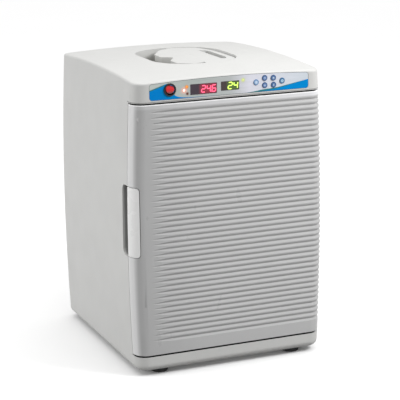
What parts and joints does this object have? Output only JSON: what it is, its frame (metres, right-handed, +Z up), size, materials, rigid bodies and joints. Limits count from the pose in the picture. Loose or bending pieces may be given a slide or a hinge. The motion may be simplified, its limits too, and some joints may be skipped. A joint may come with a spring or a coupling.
{
  "type": "bench-top incubator",
  "caption": "Small digital bench-top incubator: moulded case with folding carry handle, ribbed hinged door, control panel with keys and displays, wire shelves and rear fan.",
  "frame": {"origin": "under the middle of the case, on the plane that its feet stand on", "axes": "+X to the right of a user who faces the door, +Y from the door to the back, +Z up"},
  "size_m": [0.32, 0.36, 0.464],
  "materials": {
    "case_abs": "fine moulded grain, satin",
    "door_abs": "fine moulded grain, satin",
    "liner_abs": "smooth vacuum-formed sheet",
    "insert_abs": "smooth, satin",
    "overlay_film": "printed membrane film, satin",
    "window_red": "tinted, gloss",
    "window_green": "tinted, gloss",
    "display_red": "segment block",
    "display_green": "segment block",
    "key_blue": "printed key cap, gloss",
    "lamp": "clear coloured lens",
    "switch_black": "black nylon, satin",
    "switch_red": "translucent red, gloss",
    "circuit_board": "solder mask",
    "black_plastic": "glass-filled nylon",
    "rubber": "matte",
    "gasket": "soft vinyl, matte",
    "foam": "closed-cell foam",
    "steel": "zinc plated",
    "wire_steel": "bright plated wire",
    "aluminium": "extruded, plain",
    "cover_abs": "fine moulded grain, matte",
    "brass": "plated contacts",
    "ceramic": "matte"
  },
  "bodies": {
    "case": {"blower_frame": "black_plastic", "board_screws": "steel", "chamber_liner": "liner_abs", "control_board": "circuit_board", "exhaust_fan_frame": "black_plastic", "exhaust_guard": "wire_steel", "fan_grille": "liner_abs", "foot_front_left": "rubber", "foot_front_right": "rubber", "foot_rear_left": "rubber", "foot_rear_right": "rubber", "foot_screws": "steel", "fuse_holder": "black_plastic", "green_display_module": "display_green", "green_display_window": "window_green", "handle_pins": "steel", "heat_pump": "ceramic", "hinge_bracket_lower": "steel", "hinge_bracket_upper": "steel", "hinge_pin_lower": "steel", "hinge_pin_upper": "steel", "inlet_contacts": "brass", "inlet_screws": "steel", "inner_heatsink": "aluminium", "insulation_foam": "foam", "outer_case": "case_abs", "outer_heatsink": "aluminium", "panel_overlay": "overlay_film", "power_inlet": "black_plastic", "power_supply": "steel", "power_switch_bezel": "switch_black", "rear_cover": "cover_abs", "rear_cover_screws": "steel", "red_display_module": "display_red", "red_display_window": "window_red", "shelf_rails": "liner_abs", "status_leds": "lamp", "tact_switches": "black_plastic", "temperature_probe": "steel"},
    "door": {"door_outer_panel": "door_abs", "door_inner_panel": "liner_abs", "door_foam": "foam", "door_gasket": "gasket", "gasket_magnet": "gasket", "door_handle_grip": "insert_abs", "door_screws": "steel", "door_bush_lower": "black_plastic", "door_bush_upper": "black_plastic"},
    "handle": {"carry_handle": "case_abs"},
    "rocker": {"power_switch_rocker": "switch_red"},
    "menu_key": {"key_menu": "key_blue"},
    "up_key": {"key_up": "key_blue"},
    "down_key": {"key_down": "key_blue"},
    "start_key": {"key_start": "key_blue"},
    "stop_key": {"key_stop": "key_blue"},
    "light_key": {"key_light": "key_blue"},
    "blower": {"blower_rotor": "black_plastic"},
    "exhaust_fan": {"exhaust_fan_rotor": "black_plastic"},
    "upper_shelf": {"shelf_upper": "wire_steel"},
    "lower_shelf": {"shelf_lower": "wire_steel"}
  },
  "joints": [
    {"name": "door_hinge", "type": "hinge", "parent": "case", "child": "door", "pos_m": [0.1475, -0.1675, 0.2275], "axis": [0, 0, 1], "range_deg": [0, 110]},
    {"name": "handle_lift", "type": "hinge", "parent": "case", "child": "handle", "pos_m": [-0.004, -0.0015, 0.4555], "axis": [0, -1, 0], "range_deg": [0, 88]},
    {"name": "power_rocker", "type": "hinge", "parent": "case", "child": "rocker", "pos_m": [-0.0975, -0.174, 0.442], "axis": [1, 0, 0], "range_deg": [0, 20]},
    {"name": "menu_press", "type": "slide", "parent": "case", "child": "menu_key", "axis": [0, 1, 0], "range_m": [0, 0.0006], "stiffness_N_per_m": 800, "springref_m": -0.0005},
    {"name": "up_press", "type": "slide", "parent": "case", "child": "up_key", "axis": [0, 1, 0], "range_m": [0, 0.0006], "stiffness_N_per_m": 800, "springref_m": -0.0005},
    {"name": "down_press", "type": "slide", "parent": "case", "child": "down_key", "axis": [0, 1, 0], "range_m": [0, 0.0006], "stiffness_N_per_m": 800, "springref_m": -0.0005},
    {"name": "start_press", "type": "slide", "parent": "case", "child": "start_key", "axis": [0, 1, 0], "range_m": [0, 0.0006], "stiffness_N_per_m": 800, "springref_m": -0.0005},
    {"name": "stop_press", "type": "slide", "parent": "case", "child": "stop_key", "axis": [0, 1, 0], "range_m": [0, 0.0006], "stiffness_N_per_m": 800, "springref_m": -0.0005},
    {"name": "light_press", "type": "slide", "parent": "case", "child": "light_key", "axis": [0, 1, 0], "range_m": [0, 0.0006], "stiffness_N_per_m": 800, "springref_m": -0.0005},
    {"name": "blower_spin", "type": "hinge", "parent": "case", "child": "blower", "pos_m": [0, 0.0725, 0.29], "axis": [0, 1, 0], "continuous": true},
    {"name": "exhaust_fan_spin", "type": "hinge", "parent": "case", "child": "exhaust_fan", "pos_m": [0, 0.151, 0.29], "axis": [0, 1, 0], "continuous": true},
    {"name": "upper_shelf_slide", "type": "slide", "parent": "case", "child": "upper_shelf", "axis": [0, -1, 0], "range_m": [0, 0.01]},
    {"name": "lower_shelf_slide", "type": "slide", "parent": "case", "child": "lower_shelf", "axis": [0, -1, 0], "range_m": [0, 0.01]}
  ]
}
